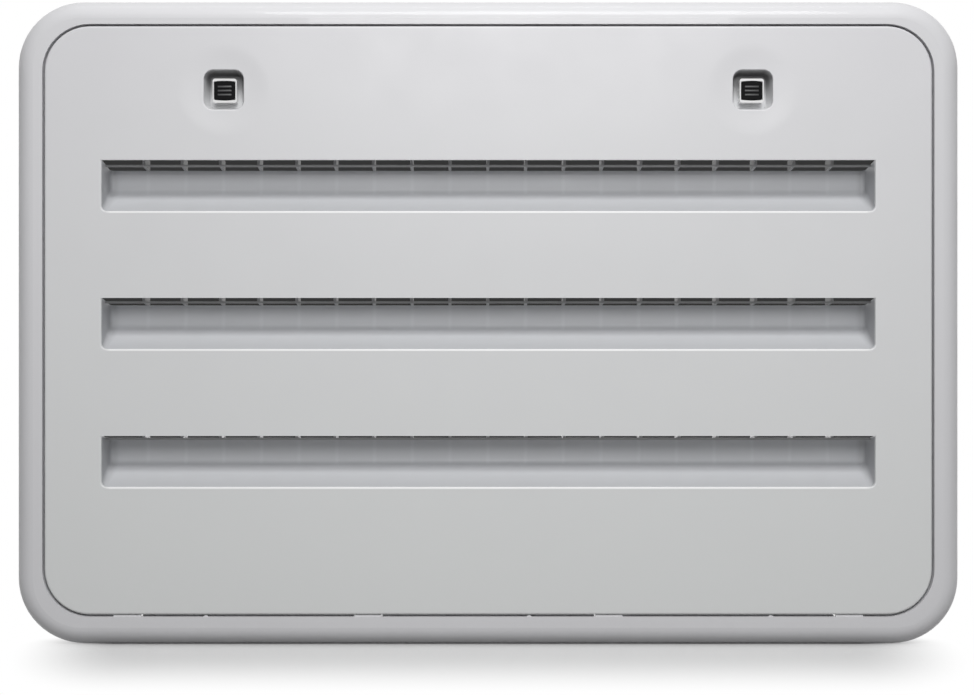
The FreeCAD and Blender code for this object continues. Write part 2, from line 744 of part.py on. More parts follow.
def check_and_export(bodies):
    """Stop on a broken feature, then write each piece to its own file."""
    doc.recompute()
    for item in doc.Objects:
        if "Invalid" in item.State or "Error" in item.State:
            raise RuntimeError(f"{item.Name} of {item.Label} did not compute: {item.State}")
    os.makedirs("parts", exist_ok=True)
    for body in bodies:
        shape = body.Shape
        if not shape.isValid() or not shape.Solids:
            raise RuntimeError(f"{body.Label} has no valid solid")
        shape.exportStep(os.path.join("parts", body.Label + ".step"))
        box = shape.BoundBox
        print(
            f"{body.Label}: {len(shape.Solids)} solids, {shape.Volume / 1000:.1f} cm3, "
            f"x {box.XMin:.2f} {box.XMax:.2f} y {box.YMin:.2f} {box.YMax:.2f} "
            f"z {box.ZMin:.2f} {box.ZMax:.2f}"
        )


fill_sheet()
pieces = [make_surround(), make_sleeve(), make_door(), make_hooks()]
for place, step in (("upper", "0 * slot_pitch"), ("middle", "slot_pitch"), ("lower", "2 * slot_pitch")):
    pieces.append(make_trough(f"{place}_louvre_trough", step))
    pieces.append(make_grille(f"{place}_vent_grille", step))
for hand, place in (("left", "-latch_side"), ("right", "latch_side")):
    pieces.append(make_keeper(f"{hand}_keeper_lug", place))
    pieces.append(make_well(f"{hand}_latch_well", place))
    pieces.append(make_grommet(f"{hand}_latch_grommet", place))
    pieces.append(make_plunger(f"{hand}_latch_plunger", place))
check_and_export(pieces)
print("hinge axis at y", -size("axis_depth"), "z", size("axis_height"))
for wanted in ("opening_rise", "slot_top", "latch_centre", "rebate_floor", "door_floor", "wall_front"):
    print(wanted, round(size(wanted), 3))
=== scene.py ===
# %% [markdown]
# # Refrigerator vent door
# This lesson dresses a moulded vent door that closes the cut-out behind a caravan's refrigerator. The
# solids arrive finished and stay where they are. What is made here is how they look: the satin of the
# moulded plastic, the marks that the mould and the weather leave, the small ridges on the latch buttons,
# and the studio.

# %% Load the solids
import math
from collections import namedtuple

import bpy
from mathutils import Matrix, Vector


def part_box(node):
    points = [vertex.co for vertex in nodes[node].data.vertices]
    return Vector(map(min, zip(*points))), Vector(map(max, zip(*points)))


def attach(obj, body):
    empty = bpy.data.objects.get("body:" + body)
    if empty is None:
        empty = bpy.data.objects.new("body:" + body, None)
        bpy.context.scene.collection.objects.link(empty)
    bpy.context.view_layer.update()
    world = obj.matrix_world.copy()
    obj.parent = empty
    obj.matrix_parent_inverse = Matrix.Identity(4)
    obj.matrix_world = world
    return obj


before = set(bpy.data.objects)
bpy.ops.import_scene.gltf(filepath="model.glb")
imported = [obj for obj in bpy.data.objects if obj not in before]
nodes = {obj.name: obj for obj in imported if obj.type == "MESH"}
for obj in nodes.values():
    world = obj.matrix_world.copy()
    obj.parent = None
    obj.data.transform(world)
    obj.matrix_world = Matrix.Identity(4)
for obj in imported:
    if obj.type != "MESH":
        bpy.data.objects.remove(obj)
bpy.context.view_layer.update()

# %% [markdown]
# ## Where things are
# Nothing is measured twice. A solid's box gives its place in metres, so the face of the door, the louvres
# and the latches are read from the boxes, and every finish that needs a place takes it from here.

# %% Read the places that the finishes need
door_low, door_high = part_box("door_panel")
frame_low, frame_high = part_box("frame_surround")
sleeve_low, sleeve_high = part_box("wall_sleeve")
trough_low, trough_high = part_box("upper_louvre_trough")
grille_low, grille_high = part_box("upper_vent_grille")
button_low, button_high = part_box("right_latch_plunger")
well_low, well_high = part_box("right_latch_well")

LEVELS = ("upper", "middle", "lower")
HANDS = ("left", "right")
RIB_BAYS = 20
MILLIMETRES = 1000

face_depth = door_low.y
rib_pitch = (grille_high.x - grille_low.x) / RIB_BAYS
louvre_pitch = trough_low.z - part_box("middle_louvre_trough")[0].z
latch_place = (button_low + button_high) / 2
print(f"ribs every {rib_pitch * MILLIMETRES:.2f} mm, louvres every {louvre_pitch * MILLIMETRES:.1f} mm")

# %% [markdown]
# ## The camera
# The photograph looks straight at the face from about a metre away. Its picture is 974 by 695 pixels, and
# its optical axis lies a little left of and above the middle of the picture. Turning the camera to suit
# would make the upright lines lean, so it stays level and the lens is shifted. The focal length then
# follows from how many millimetres of the door one pixel covers.

# %% Set up the camera
PHOTO_WIDTH, PHOTO_HEIGHT = 974, 695
AXIS_COLUMN, AXIS_ROW = 465.0, 310.0
MIDDLE_COLUMN, MIDDLE_ROW = 488.3, 322.8
METRES_PER_PIXEL = 0.00063665
STAND_OFF = 1.0
SENSOR = 36.0


def set_up_camera():
    """A level camera in front of the door, shifted as the photograph's was."""
    across = (AXIS_COLUMN - MIDDLE_COLUMN) * METRES_PER_PIXEL
    up = (MIDDLE_ROW - AXIS_ROW) * METRES_PER_PIXEL
    bpy.ops.object.camera_add(
        location=(across, face_depth - STAND_OFF, up), rotation=(math.pi / 2, 0, 0)
    )
    camera = bpy.context.object
    camera.name = "photo_camera"
    camera.data.sensor_width = SENSOR
    camera.data.lens = SENSOR * STAND_OFF / (PHOTO_WIDTH * METRES_PER_PIXEL)
    camera.data.shift_x = (PHOTO_WIDTH / 2 - AXIS_COLUMN) / PHOTO_WIDTH
    camera.data.shift_y = (AXIS_ROW - PHOTO_HEIGHT / 2) / PHOTO_WIDTH
    camera.data.dof.use_dof = False
    bpy.context.scene.camera = camera
    return camera


photo_camera = set_up_camera()
print(f"lens {photo_camera.data.lens:.2f} mm at {tuple(round(v, 4) for v in photo_camera.location)}")

# %% [markdown]
# ## Node helpers
# Every finish is a small network of shader nodes. It could be wired by hand in the shader editor, but a
# network that is written down is easier to repeat and to compare. These helpers keep it short: one starts
# a material, one adds a node with its settings, and two do arithmetic on a pattern.

# %% Helpers that add nodes
def start_material(name):
    """A new material with its shader node, ready for patterns."""
    material = bpy.data.materials.new(name)
    material.use_nodes = True
    tree = material.node_tree
    return material, tree, tree.nodes["Principled BSDF"]


def add_node(tree, kind, inputs=None, **settings):
    """Add one node. A value in inputs is set on the socket, and a socket in inputs is linked to it."""
    node = tree.nodes.new(kind)
    for name, value in settings.items():
        setattr(node, name, value)
    for name, value in (inputs or {}).items():
        if isinstance(value, bpy.types.NodeSocket):
            tree.links.new(value, node.inputs[name])
        else:
            node.inputs[name].default_value = value
    return node


def arithmetic(tree, operation, first, second=None):
    """One step of arithmetic on a pattern."""
    inputs = {0: first}
    if second is not None:
        inputs[1] = second
    return add_node(tree, "ShaderNodeMath", inputs, operation=operation).outputs[0]


def spread(tree, value, start, end, low, high, smooth=False):
    """Map a pattern's range to another range."""
    kind = "SMOOTHSTEP" if smooth else "LINEAR"
    inputs = {"Value": value, "From Min": start, "From Max": end, "To Min": low, "To Max": high}
    return add_node(tree, "ShaderNodeMapRange", inputs, interpolation_type=kind).outputs["Result"]


# %% [markdown]
# ## Patterns and colours
# Nearly every pattern starts from the place of a point on the piece, in metres, so that a mark stays where
# it is when the door swings. The other helpers turn places into distances, blots and colours. The Mix node
# has a set of sockets each for numbers, vectors and colours, under the same names, so its colour sockets
# are reached by number.

# %% Helpers for patterns and colours
FINE_DETAIL = 3.0
MIX_FIRST, MIX_SECOND, MIX_RESULT = 6, 7, 2


def object_place(tree):
    """The place of a point on the piece, in metres."""
    return add_node(tree, "ShaderNodeTexCoord").outputs["Object"]


def place_parts(tree):
    """The same place, as three patterns named X, Y and Z."""
    return add_node(tree, "ShaderNodeSeparateXYZ", {"Vector": object_place(tree)}).outputs


def how_far(tree, first, second):
    """How far off a point is whose two offsets are known."""
    squares = [arithmetic(tree, "MULTIPLY", offset, offset) for offset in (first, second)]
    return arithmetic(tree, "SQRT", arithmetic(tree, "ADD", *squares))


def noise(tree, scale, detail=2.0):
    """A soft random pattern with about that many blots to the metre."""
    inputs = {"Vector": object_place(tree), "Scale": scale, "Detail": detail}
    return add_node(tree, "ShaderNodeTexNoise", inputs).outputs["Fac"]


def ramp_between(tree, factor, low, high):
    """Two plain colours, mixed by a pattern."""
    ramp = add_node(tree, "ShaderNodeValToRGB", {"Fac": factor})
    ramp.color_ramp.elements[0].color = (*low, 1)
    ramp.color_ramp.elements[1].color = (*high, 1)
    return ramp.outputs["Color"]


def blend(tree, factor, first, second):
    """A coloured pattern that gives way to a plain colour or to another one."""
    inputs = {"Factor": factor, MIX_FIRST: first, MIX_SECOND: second}
    return add_node(tree, "ShaderNodeMix", inputs, data_type="RGBA").outputs[MIX_RESULT]


def tinted(colour, change):
    """A colour made lighter or darker by a share of itself."""
    return tuple(min(1.0, part * (1 + change)) for part in colour)


# %% [markdown]
# ## Moulded plastic
# Most of the object is one pale, faintly cool plastic. Seen close it isn't even: the colour drifts by a
# few percent over a hand's width, the gloss drifts too, and the mould was lightly sand-blasted, which
# leaves a grain of a millimetre or less. A picture of such plastic would have to be unwrapped onto every
# piece, and it would repeat, so noise makes all three. One function makes the surface and another the
# drifting colour, because some pieces need a colour of their own on the same surface.

# %% The base recipe for the pale plastic
PALE = (0.718, 0.722, 0.732)
DRIFT = 0.018
DRIFT_SCALE = 9.0
GLOSS_SCALE = 35.0
GLOSS_START, GLOSS_END = 0.3, 0.7
GLOSS_DRIFT = 0.05
PLASTIC_IOR = 1.5

Finish = namedtuple("Finish", "material tree shader grain")


def bare_plastic(name, roughness, grain, depth, coat=0.0, coat_roughness=0.1):
    """Plastic without its colour: drifting gloss, and the fine grain of a blasted mould."""
    material, tree, shader = start_material(name)
    smoothest, roughest = roughness - GLOSS_DRIFT, roughness + GLOSS_DRIFT
    gloss = spread(tree, noise(tree, GLOSS_SCALE), GLOSS_START, GLOSS_END, smoothest, roughest)
    tree.links.new(gloss, shader.inputs["Roughness"])
    inputs = {"Height": noise(tree, grain, FINE_DETAIL), "Distance": depth, "Strength": 1.0}
    bump = add_node(tree, "ShaderNodeBump", inputs)
    tree.links.new(bump.outputs["Normal"], shader.inputs["Normal"])
    shader.inputs["IOR"].default_value = PLASTIC_IOR
    shader.inputs["Coat Weight"].default_value = coat
    shader.inputs["Coat Roughness"].default_value = coat_roughness
    return Finish(material, tree, shader, bump)


def paint(finish, colour):
    """Give a finish its colour pattern."""
    finish.tree.links.new(colour, finish.shader.inputs["Base Color"])


def drifting(tree, colour, lift=0.0):
    """A colour that drifts, and that is lighter as a whole by a share of itself."""
    drift = noise(tree, DRIFT_SCALE, FINE_DETAIL)
    return ramp_between(tree, drift, tinted(colour, lift - DRIFT), tinted(colour, lift + DRIFT))


def moulded_plastic(name, colour, **surface):
    """Plastic in one drifting colour, for the pieces that need no more than that."""
    finish = bare_plastic(name, **surface)
    paint(finish, drifting(finish.tree, colour))
    return finish


def emboss(finish, pattern, depth, hollow=False):
    """Raise or sink the surface by a pattern, under its grain."""
    inputs = {"Height": pattern, "Distance": depth, "Strength": 1.0}
    relief = add_node(finish.tree, "ShaderNodeBump", inputs, invert=hollow)
    finish.tree.links.new(relief.outputs["Normal"], finish.grain.inputs["Normal"])


def dress(name, finish):
    """Put one finish on a solid, in place of the plain one it came with."""
    mesh = nodes[name].data
    mesh.materials.clear()
    mesh.materials.append(finish.material)
    nodes[name].material_slots[0].material = finish.material


# %% [markdown]
# ## The surround
# The flange has a fine grain, and its plastic is a shade more lilac than the rest. Its rolled edge picks up
# the lamps as bright lines. A lower roughness alone would make all of it shine, so it keeps its satin and
# gets a thin, smooth clear coat on top. The sleeve and the lugs behind it are left as they came from the
# mould.

# %% Dress the surround and what is behind it
LILAC = (0.690, 0.688, 0.706)
SLEEVE_SHADE = -0.03
FLANGE_GRAIN = 1600.0
INSIDE_GRAIN = 1100.0

surround_finish = moulded_plastic(
    "surround_finish", LILAC, roughness=0.46, grain=FLANGE_GRAIN, depth=0.00001,
    coat=0.22, coat_roughness=0.05,
)
sleeve_finish = moulded_plastic(
    "sleeve_finish", tinted(PALE, SLEEVE_SHADE), roughness=0.48, grain=INSIDE_GRAIN, depth=0.00003
)
dress("frame_surround", surround_finish)
for name in ("wall_sleeve", "left_keeper_lug", "right_keeper_lug"):
    dress(name, sleeve_finish)
print("surround, sleeve and keeper lugs dressed")

# %% [markdown]
# ## Marks on the door's face
# Where the latch cups join the face the plastic is thicker and has shrunk on cooling, which shows as a faint
# dish round each latch. The solids stay as they are, so the dish is a bump in the finish. Both latches are
# equally far from the middle, and one pattern that ignores the sign of x serves both. A thin line along the
# lower lip of each louvre is painted lighter, a painted highlight where the rounded edge catches the lamps.
# The three lips are evenly spaced, and one pattern finds the nearest of them.

# %% Patterns for the dishes and the lips
DISH_INNER, DISH_OUTER = 0.013, 0.030
LIP_RISE = 0.00155
LIP_HALF, LIP_FADED = 0.0006, 0.0009
LIP_REACH, LIP_END = 0.244, 0.003


def latch_dish(tree):
    """A pattern that is 0 at a latch's mouth and rises to 1 a thumb's width away."""
    place = place_parts(tree)
    across = arithmetic(tree, "SUBTRACT", arithmetic(tree, "ABSOLUTE", place["X"]), latch_place.x)
    up = arithmetic(tree, "SUBTRACT", place["Z"], latch_place.z)
    return spread(tree, how_far(tree, across, up), DISH_INNER, DISH_OUTER, 0.0, 1.0, smooth=True)


def lip_painted_highlight(tree):
    """A pattern that is 1 along the lower lip of each louvre's opening, where a highlight is painted."""
    place = place_parts(tree)
    below_first = arithmetic(tree, "SUBTRACT", trough_low.z + LIP_RISE, place["Z"])
    count = arithmetic(tree, "DIVIDE", below_first, louvre_pitch)
    nearest = arithmetic(tree, "MAXIMUM", arithmetic(tree, "ROUND", count), 0.0)
    nearest = arithmetic(tree, "MINIMUM", nearest, len(LEVELS) - 1.0)
    away = arithmetic(tree, "ABSOLUTE", arithmetic(tree, "SUBTRACT", count, nearest))
    on_lip = spread(tree, away, LIP_HALF / louvre_pitch, LIP_FADED / louvre_pitch, 1.0, 0.0)
    side = arithmetic(tree, "ABSOLUTE", place["X"])
    in_reach = spread(tree, side, LIP_REACH - LIP_END, LIP_REACH, 1.0, 0.0)
    return arithmetic(tree, "MULTIPLY", on_lip, in_reach)


lip_width, dish_width = 2 * LIP_HALF * MILLIMETRES, 2 * DISH_OUTER * MILLIMETRES
print(f"lips {lip_width:.1f} mm wide, dishes {dish_width:.0f} mm across")

# %% [markdown]
# ## The door
# The face has a coarser grain than the flange, and less roughness, so it mirrors the upper lamp softly.
# It is painted a little paler and greener towards its foot, a painted light that evens out the lamps'
# fall-off down the face. One picture can't tell whether that is weather or light, so the change is kept
# small.

# %% Dress the door
FACE_GRAIN = 1300.0
DISH_DEPTH = 0.0006
# The face's colour at its head and at its foot: the foot is painted lighter, as painted light.
FACE_HIGH = (0.698, 0.694, 0.716)
FACE_LOW = (0.738, 0.750, 0.748)
FACE_PATCHES = 0.2
# The colour of the painted highlight along the lower lips of the louvres.
LIP_HIGHLIGHT = (0.91, 0.91, 0.915)


def face_colour(tree):
    """Painted paler towards the foot as painted light, a little patchy, and with a painted highlight along
    the lips.
    """
    foot = spread(tree, place_parts(tree)["Z"], door_low.z, door_high.z, 1.0, 0.0)
    patchy = arithmetic(tree, "MULTIPLY", noise(tree, DRIFT_SCALE, FINE_DETAIL), FACE_PATCHES)
    plain = ramp_between(tree, arithmetic(tree, "ADD", foot, patchy), FACE_HIGH, FACE_LOW)
    return blend(tree, lip_painted_highlight(tree), plain, (*LIP_HIGHLIGHT, 1.0))


door_finish = bare_plastic("door_finish", roughness=0.36, grain=FACE_GRAIN, depth=0.00002)
paint(door_finish, face_colour(door_finish.tree))
emboss(door_finish, latch_dish(door_finish.tree), DISH_DEPTH)
for name in ("door_panel", "hinge_hooks"):
    dress(name, door_finish)
print("door and hooks dressed")

# %% [markdown]
# ## The louvres
# The back wall of each louvre shows faint upright streaks where the ribs behind it have drawn the plastic
# in. They could be painted one by one, but they repeat at the pitch of the ribs. So the pattern is the
# distance to the nearest rib, worked out from x alone, and it ends where the wall curves into the ramp.
# The streaks are both a little lighter and a little hollow. The plastic is painted darker than the face as
# painted shade in the recesses, the closed ends are painted darker still as painted shade, and the ramp is
# darker part of the way back from the lower lip.

# %% Dress the louvres
# The louvres' plastic, painted darker than the face as painted shade inside the recesses.
SHADED_INNER = (0.640, 0.650, 0.672)
STREAK_HALF = 0.0022
STREAK_DEPTH = 0.00006
STREAK_LIGHT = 0.05
WALL_START, WALL_FULL = 0.0075, 0.0055
END_SOFT, END_EDGE = 0.009, 0.0015
LIP_SOFT, LIP_SHARE = 0.014, 0.5
# How much darker the painted shade at the ends and the darkening behind the lower lip are.
PAINTED_DARKENING = -0.28


def rib_streaks(tree):
    """A pattern that is 1 on the back wall in front of each rib and 0 between the ribs."""
    place = place_parts(tree)
    count = arithmetic(tree, "DIVIDE", place["X"], rib_pitch)
    nearest = arithmetic(tree, "ROUND", count)
    away = arithmetic(tree, "ABSOLUTE", arithmetic(tree, "SUBTRACT", count, nearest))
    streak = spread(tree, away, 0.0, STREAK_HALF / rib_pitch, 1.0, 0.0, smooth=True)
    rear = trough_high.y
    on_wall = spread(tree, place["Y"], rear - WALL_START, rear - WALL_FULL, 0.0, 1.0)
    return arithmetic(tree, "MULTIPLY", streak, on_wall)


def end_shade_and_lip_darkening(tree):
    """A pattern of painted shade that rises to 1 at the louvre's ends, and of darkening part of the way
    along its lower lip.
    """
    place = place_parts(tree)
    side = arithmetic(tree, "ABSOLUTE", place["X"])
    end = trough_high.x
    ends = spread(tree, side, end - END_SOFT, end - END_EDGE, 0.0, 1.0, smooth=True)
    lip = spread(tree, place["Y"], trough_low.y, trough_low.y + LIP_SOFT, LIP_SHARE, 0.0)
    return arithmetic(tree, "MAXIMUM", ends, lip)


def louvre_plastic():
    """The louvres' plastic, with the streaks in its colour and its relief, and the painted darkening on top.
    """
    finish = bare_plastic("louvre_finish", roughness=0.45, grain=INSIDE_GRAIN, depth=0.00002)
    tree = finish.tree
    streaks = rib_streaks(tree)
    emboss(finish, streaks, STREAK_DEPTH, hollow=True)
    clean = blend(tree, streaks, drifting(tree, SHADED_INNER), drifting(tree, SHADED_INNER, lift=STREAK_LIGHT))
    paint(finish, blend(tree, end_shade_and_lip_darkening(tree), clean, (*tinted(SHADED_INNER, PAINTED_DARKENING), 1.0)))
    return finish


louvre_finish = louvre_plastic()
for level in LEVELS:
    dress(f"{level}_louvre_trough", louvre_finish)
print(f"{len(LEVELS)} louvres dressed")

# %% [markdown]
# ## The grilles
# Behind each upper lip a ladder of ribs keeps leaves out. The grille is painted darker than the pale
# plastic, as painted shade behind the lip. From the front the ribs' narrow edges and the long bar show as
# lighter ticks, while their sides are painted darker still as painted shade. A side of a rib is known by its
# normal, which points along x there, so the painted shade needs no map: the pattern is how far the normal
# points sideways.

# %% Dress the grilles
# The grille's colours are painted shade: darker than the pale plastic on the edges, darker still on the
# sides.
RIB_EDGE_SHADED = (0.42, 0.42, 0.425)
RIB_SIDE_SHADED = (0.14, 0.14, 0.14)
RIB_BLOTS, RIB_PATCHES = 500.0, 0.3
SIDE_START, SIDE_FULL = 0.2, 0.6


def rib_side_shade(tree):
    """A pattern of painted shade that is 1 on the sides of the ribs and 0 on their edges, with a ragged
    border.
    """
    normal = add_node(tree, "ShaderNodeTexCoord").outputs["Normal"]
    facing = add_node(tree, "ShaderNodeSeparateXYZ", {"Vector": normal}).outputs
    sideways = arithmetic(tree, "ABSOLUTE", facing["X"])
    patchy = arithmetic(tree, "MULTIPLY", noise(tree, RIB_BLOTS, FINE_DETAIL), RIB_PATCHES)
    return spread(tree, arithmetic(tree, "SUBTRACT", sideways, patchy), SIDE_START, SIDE_FULL, 0.0, 1.0)


grille_finish = bare_plastic("grille_finish", roughness=0.5, grain=INSIDE_GRAIN, depth=0.00002)
side_shade = rib_side_shade(grille_finish.tree)
paint(grille_finish, ramp_between(grille_finish.tree, side_shade, RIB_EDGE_SHADED, RIB_SIDE_SHADED))
for level in LEVELS:
    dress(f"{level}_vent_grille", grille_finish)
print(f"{len(LEVELS)} grilles dressed")

# %% [markdown]
# ## The latches
# Each latch sits in a square cup that is painted greyer deep inside and under its upper edge, as painted
# shade. The shade could be painted by hand, but one ramp in depth times one in height serves both cups. The
# bezel is the glossiest pale piece. The button is black, with little sheen and a grain that a fingertip
# holds on.

# %% Dress the latches
BLACK = (0.004, 0.004, 0.0045)
BEZEL_WHITE = (0.80, 0.80, 0.80)
# The colour and the reach of the painted shade inside the latch cups.
CUP_SHADE = (0.17, 0.17, 0.175)
CUP_SHADE_BLOTS, CUP_SHADE_PATCHES = 400.0, 0.002
CUP_SHADE_DEPTH, CUP_SHADE_AT_MOUTH = 0.006, 0.25
CUP_SHADE_START, CUP_SHADE_FULL = 0.008, 0.005
BUTTON_GRAIN = 2200.0
BUTTON_SHEEN = 0.06


def cup_painted_shade(tree):
    """Painted shade: a pattern that rises from the cup's mouth to its floor, and from its foot to its upper
    edge.
    """
    place = place_parts(tree)
    patchy = arithmetic(tree, "MULTIPLY", noise(tree, CUP_SHADE_BLOTS, FINE_DETAIL), CUP_SHADE_PATCHES)
    depth = arithmetic(tree, "ADD", place["Y"], patchy)
    deep = spread(tree, depth, well_low.y, well_low.y + CUP_SHADE_DEPTH, CUP_SHADE_AT_MOUTH, 1.0)
    start, full = well_low.z + CUP_SHADE_START, well_high.z - CUP_SHADE_FULL
    under_upper_edge = spread(tree, place["Z"], start, full, 0.0, 1.0)
    return arithmetic(tree, "MULTIPLY", deep, under_upper_edge)


well_finish = bare_plastic("well_finish", roughness=0.42, grain=FACE_GRAIN, depth=0.00002)
paint(well_finish, ramp_between(well_finish.tree, cup_painted_shade(well_finish.tree), PALE, CUP_SHADE))
bezel_finish = moulded_plastic(
    "bezel_finish", BEZEL_WHITE, roughness=0.25, grain=900.0, depth=0.000005, coat=0.4, coat_roughness=0.08
)
button_finish = moulded_plastic("button_finish", BLACK, roughness=0.42, grain=BUTTON_GRAIN, depth=0.00003)
button_finish.shader.inputs["Specular IOR Level"].default_value = BUTTON_SHEEN
for hand in HANDS:
    dress(f"{hand}_latch_well", well_finish)
    dress(f"{hand}_latch_grommet", bezel_finish)
    dress(f"{hand}_latch_plunger", button_finish)
print(f"{len(HANDS)} latches dressed")

# %% [markdown]
# ## Helpers for modelling
# The next pieces are modelled as by hand. An operator acts on all that is selected, so everything is
# deselected first. A block is added at its size and place, and its place is then applied, so that the
# object sits at the origin as the solids do.

# %% Helpers that select, add, round and copy
SAME_PLACE = 1e-7
SMOOTH_ANGLE = math.radians(40)


def select_only(*pieces):
    """Select these objects and nothing else."""
    bpy.ops.object.select_all(action="DESELECT")
    for piece in pieces:
        piece.select_set(True)
    bpy.context.view_layer.objects.active = pieces[0]


def block(name, centre, size):
    """A box of that size, with its place in its mesh."""
    bpy.ops.object.select_all(action="DESELECT")
    bpy.ops.mesh.primitive_cube_add(size=1, location=centre, scale=size)
    piece = bpy.context.object
    piece.name = name
    bpy.ops.object.transform_apply(location=True, rotation=True, scale=True)
    return piece


def round_front(piece, width, segments):
    """Bevel the edges round the face that looks forwards."""
    front = min(vertex.co.y for vertex in piece.data.vertices)
    select_only(piece)
    bpy.ops.object.mode_set(mode="EDIT")
    bpy.ops.mesh.select_all(action="DESELECT")
    bpy.ops.object.mode_set(mode="OBJECT")
    for edge in piece.data.edges:
        ends = [piece.data.vertices[i].co.y for i in edge.vertices]
        edge.select = all(abs(end - front) < SAME_PLACE for end in ends)
    bpy.ops.object.mode_set(mode="EDIT")
    bpy.ops.mesh.select_mode(type="EDGE")
    bpy.ops.mesh.bevel(offset=width, segments=segments, affect="EDGES", clamp_overlap=True)
    bpy.ops.object.mode_set(mode="OBJECT")
    bpy.ops.object.shade_smooth_by_angle(angle=SMOOTH_ANGLE)


def copy_moved(piece, name, move):
    """A copy with a mesh of its own, moved by that much."""
    select_only(piece)
    bpy.ops.object.duplicate(linked=False)
    copy = bpy.context.object
    copy.name = name
    copy.location = move
    bpy.ops.object.transform_apply(location=True, rotation=True, scale=True)
    return copy


# %% [markdown]
# ## Ridges on the buttons
# The front of each button gets three fine plain bars, greyer than the button as if worn, that give a
# fingertip something to hold. They could be painted on, but a bar with a rounded front catches the light
# from any side. One bar is shaped from a block whose front edges are bevelled, then copied down the
# button. The three are joined into one piece, which is copied to the other button.

# %% Model the ridges once and copy them to both buttons
RIDGE_COUNT = 3
RIDGE_PITCH = 0.0026
RIDGE_WIDTH = 0.0088
RIDGE_HEIGHT = 0.0011
RIDGE_PROUD = 0.00022
RIDGE_ROOT = 0.0003
RIDGE_ROUND = 0.9 * RIDGE_PROUD
RIDGE_SEGMENTS = 3
RIDGE_GREY = (0.045, 0.045, 0.047)


def model_ridges(name, side):
    """Three bars on the front of one button, joined."""
    top = latch_place.z + (RIDGE_COUNT - 1) / 2 * RIDGE_PITCH
    depth = button_low.y + (RIDGE_ROOT - RIDGE_PROUD) / 2
    bar = block(name, (side, depth, top), (RIDGE_WIDTH, RIDGE_PROUD + RIDGE_ROOT, RIDGE_HEIGHT))
    round_front(bar, RIDGE_ROUND, RIDGE_SEGMENTS)
    bars = [bar]
    for step in range(1, RIDGE_COUNT):
        bars.append(copy_moved(bar, f"{name}_{step}", (0, 0, -step * RIDGE_PITCH)))
    select_only(*bars)
    bpy.ops.object.join()
    return bpy.context.object


ridge_finish = moulded_plastic("ridge_finish", RIDGE_GREY, roughness=0.35, grain=BUTTON_GRAIN, depth=0.00002)
left_ridges = model_ridges("left_button_ridges", -latch_place.x)
right_ridges = copy_moved(left_ridges, "right_button_ridges", (2 * latch_place.x, 0, 0))
for hand, ridges in zip(HANDS, (left_ridges, right_ridges)):
    ridges.data.materials.append(ridge_finish.material)
    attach(ridges, f"{hand}_plunger")
    print(f"{ridges.name}: {len(ridges.data.polygons)} faces")

# %% [markdown]
# ## The floor
# The object stands on a pale floor. Near the object the floor is matt and takes its shadow. Further off it
# glows white to the camera, so it runs into the white sky without a horizon. A floor that is as bright as
# it looks would light the underside of the surround, which is dark in the photograph, so it passes on
# less light than it shows.

# %% Lay the floor
WHITE = (1, 1, 1, 1)
FLOOR_SIZE = 10.0
FLOOR_GAP = 0.0002
FLOOR_SEEN = 0.73
FLOOR_BOUNCE = 0.25
SHADOW_NEAR, SHADOW_FAR = 0.03, 0.135
SHADOW_END = 0.085
FADE_SIDEWAYS, FADE_BEHIND = 1.6, 4.0


def seen_directly(tree):
    """1 for what the camera sees, also in gloss or through glass, and 0 for light on its way."""
    path = add_node(tree, "ShaderNodeLightPath").outputs
    glossy = arithmetic(tree, "MAXIMUM", path["Is Camera Ray"], path["Is Glossy Ray"])
    return arithmetic(tree, "MAXIMUM", glossy, path["Is Transmission Ray"])


def away_from_object(tree):
    """0 on the floor near the object, rising to 1 further off, soonest behind it."""
    place = place_parts(tree)
    shadow_end = frame_high.x - SHADOW_END
    side = arithmetic(tree, "SUBTRACT", arithmetic(tree, "ABSOLUTE", place["X"]), shadow_end)
    side = arithmetic(tree, "MULTIPLY", arithmetic(tree, "MAXIMUM", side, 0.0), FADE_SIDEWAYS)
    behind = arithmetic(tree, "MULTIPLY", arithmetic(tree, "MAXIMUM", place["Y"], 0.0), FADE_BEHIND)
    in_front = arithmetic(tree, "MULTIPLY", place["Y"], -1.0)
    off = how_far(tree, side, arithmetic(tree, "MAXIMUM", in_front, behind))
    return spread(tree, off, SHADOW_NEAR, SHADOW_FAR, 0.0, 1.0, smooth=True)


def floor_material():
    """Matt near the object, where the shadow falls, and white to the camera further off."""
    material, tree, shader = start_material("floor_finish")
    tree.nodes.remove(shader)
    seen = seen_directly(tree)
    level = spread(tree, seen, 0.0, 1.0, FLOOR_BOUNCE, FLOOR_SEEN)
    matt = add_node(tree, "ShaderNodeBsdfDiffuse", {"Color": level})
    white = add_node(tree, "ShaderNodeEmission", {"Color": WHITE, "Strength": 1.0})
    plain = arithmetic(tree, "MULTIPLY", seen, away_from_object(tree))
    mix = add_node(tree, "ShaderNodeMixShader", {0: plain, 1: matt.outputs[0], 2: white.outputs[0]})
    tree.links.new(mix.outputs[0], tree.nodes["Material Output"].inputs["Surface"])
    return material


bpy.ops.object.select_all(action="DESELECT")
bpy.ops.mesh.primitive_plane_add(size=FLOOR_SIZE, location=(0, 0, frame_low.z - FLOOR_GAP))
floor = bpy.context.object
floor.name = "studio_floor"
floor.data.materials.append(floor_material())
print(f"floor at {floor.location.z:.4f}")

# %% [markdown]
# ## The sky
# The background of the photograph is plain white. A sky that bright would wash out the shading of the
# object, so the world's strength depends on the ray: full where the camera sees it, and faint where it
# lights the object.

# %% Set the sky
SKY_LIGHT = 0.13


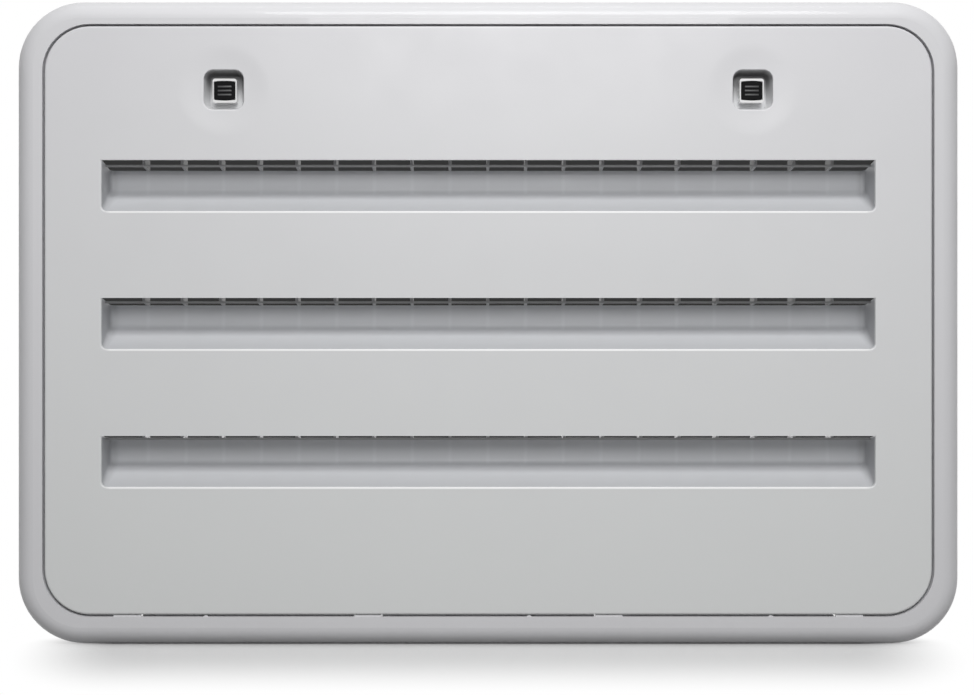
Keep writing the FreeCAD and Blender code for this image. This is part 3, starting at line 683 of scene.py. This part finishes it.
def set_sky():
    """White to the camera, and a faint even light on the object."""
    world = bpy.data.worlds.new("studio_sky")
    world.use_nodes = True
    bpy.context.scene.world = world
    tree = world.node_tree
    background = tree.nodes["Background"]
    level = spread(tree, seen_directly(tree), 0.0, 1.0, SKY_LIGHT, 1.0)
    tree.links.new(level, background.inputs["Strength"])
    background.inputs["Color"].default_value = WHITE


set_sky()
print("sky ready")

# %% [markdown]
# ## A dark card behind the sleeve
# In use the sleeve opens into the dark space behind a refrigerator, and that darkness is what shows under
# the upper lip of each louvre. A card closes the sleeve as seen from the front. It has one visible side,
# so the back of the object can still be looked at, and it neither lights the object nor shades it.

# %% Stand the card behind the sleeve
CARD_TONE = 0.035
CARD_INSET = 0.0005
CARD_BEHIND = 0.0005


def card_material():
    """Dark from the front and clear from behind."""
    material, tree, shader = start_material("card_finish")
    tree.nodes.remove(shader)
    dark = add_node(tree, "ShaderNodeEmission", {"Color": WHITE, "Strength": CARD_TONE})
    clear = add_node(tree, "ShaderNodeBsdfTransparent")
    rear = add_node(tree, "ShaderNodeNewGeometry").outputs["Backfacing"]
    mix = add_node(tree, "ShaderNodeMixShader", {0: rear, 1: dark.outputs[0], 2: clear.outputs[0]})
    tree.links.new(mix.outputs[0], tree.nodes["Material Output"].inputs["Surface"])
    return material


def stand_card():
    """A one-sided card that fills the sleeve's rear opening."""
    width = sleeve_high.x - sleeve_low.x - 2 * CARD_INSET
    height = sleeve_high.z - sleeve_low.z - 2 * CARD_INSET
    middle = (sleeve_low + sleeve_high) / 2
    place = (middle.x, sleeve_high.y + CARD_BEHIND, middle.z)
    bpy.ops.object.select_all(action="DESELECT")
    bpy.ops.mesh.primitive_plane_add(size=1, location=place, rotation=(math.pi / 2, 0, 0))
    card = bpy.context.object
    card.name = "dark_card"
    card.scale = (width, height, 1)
    bpy.ops.object.transform_apply(location=True, rotation=True, scale=True)
    card.data.materials.append(card_material())
    card.visible_diffuse = False
    card.visible_glossy = False
    card.visible_shadow = False
    return card


dark_card = stand_card()
print(f"card {dark_card.dimensions.x:.3f} by {dark_card.dimensions.z:.3f} m")

# %% [markdown]
# ## Studio light
# Three long soft lamps light the front. A low panel fills the face and the back walls of the louvres, a
# wide panel at half height lights the ramps, and a thin tube nearly overhead shades the face from top to
# bottom. The rolled edge at the head mirrors them as bright lines. A weak strip stands low behind the
# object, so that its back can be seen too. Each lamp is placed by its angle about the door: 0 is straight
# in front, 90 overhead and 180 straight behind.

# %% Hang the lamps
LAMPS = {
    "low_panel": dict(angle=22.0, distance=1.3, across=0.06, length=0.6, height=0.32, watts=4.6),
    "front_panel": dict(angle=47.0, distance=1.6, across=0.12, length=0.9, height=0.52, watts=14.8),
    "upper_tube": dict(angle=87.0, distance=0.9, across=0.0, length=1.0, height=0.02, watts=1.0),
    "rear_strip": dict(angle=195.0, distance=0.7, across=0.0, length=0.5, height=0.04, watts=1.2),
}


def hang_lamp(name, angle, distance, across, length, height, watts):
    """A long flat lamp at that angle and distance, turned towards the middle of the face."""
    turn = math.radians(angle)
    middle = Vector((0, face_depth, 0))
    place = middle + Vector((0, -math.cos(turn), math.sin(turn))) * distance
    place.x += across
    bpy.ops.object.light_add(type="AREA", location=place)
    lamp = bpy.context.object
    lamp.name = name
    lamp.data.shape = "RECTANGLE"
    lamp.data.size, lamp.data.size_y = length, height
    lamp.data.energy = watts
    lamp.rotation_euler = (middle - place).to_track_quat("-Z", "Y").to_euler()
    lamp.visible_camera = False


for name, settings in LAMPS.items():
    hang_lamp(name, **settings)
bpy.context.scene.view_settings.view_transform = "Standard"
print(f"{len(LAMPS)} lamps ready")
